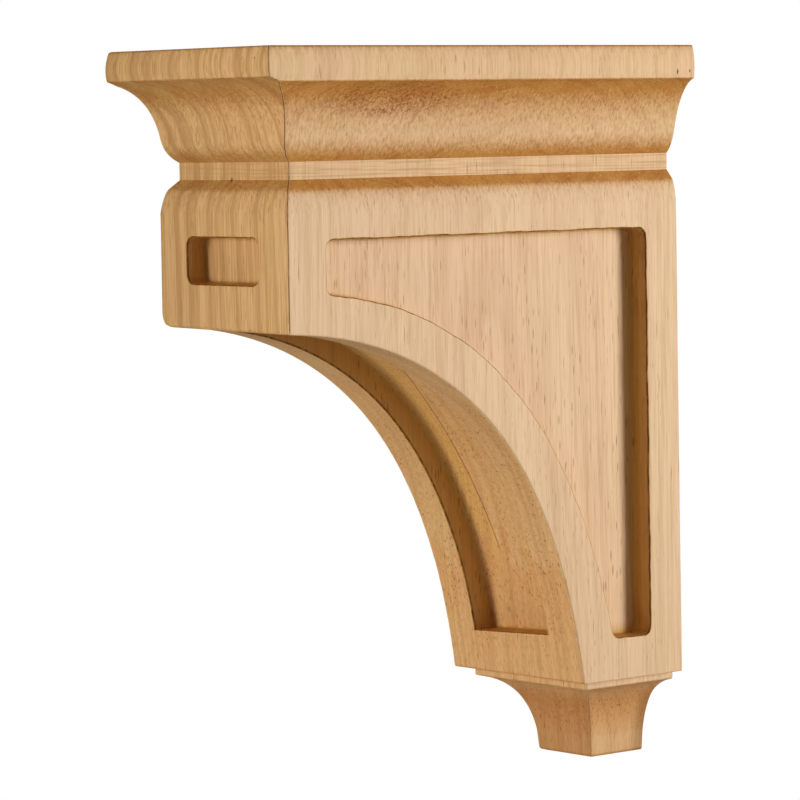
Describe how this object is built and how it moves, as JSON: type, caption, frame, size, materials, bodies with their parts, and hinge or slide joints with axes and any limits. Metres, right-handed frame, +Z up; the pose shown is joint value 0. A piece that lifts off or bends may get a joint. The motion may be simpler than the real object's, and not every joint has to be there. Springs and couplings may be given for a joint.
{
  "type": "corbel bracket",
  "caption": "Wooden wall corbel with a moulded cap, a hollow sweep underneath, sunk panels in its faces and a small turned-in foot.",
  "frame": {"origin": "on the flat back face against the wall, at mid width and halfway between the top and the foot's underside", "axes": "+Z up, +Y out of the back into the wall, so the front faces -Y, and +X across the width"},
  "size_m": [0.09, 0.1909, 0.254],
  "materials": {
    "wood": "sanded bare hardwood, pale tan with upright grain, darker on the end grain of the curves"
  },
  "bodies": {
    "root": {"corbel": "wood"}
  },
  "joints": []
}
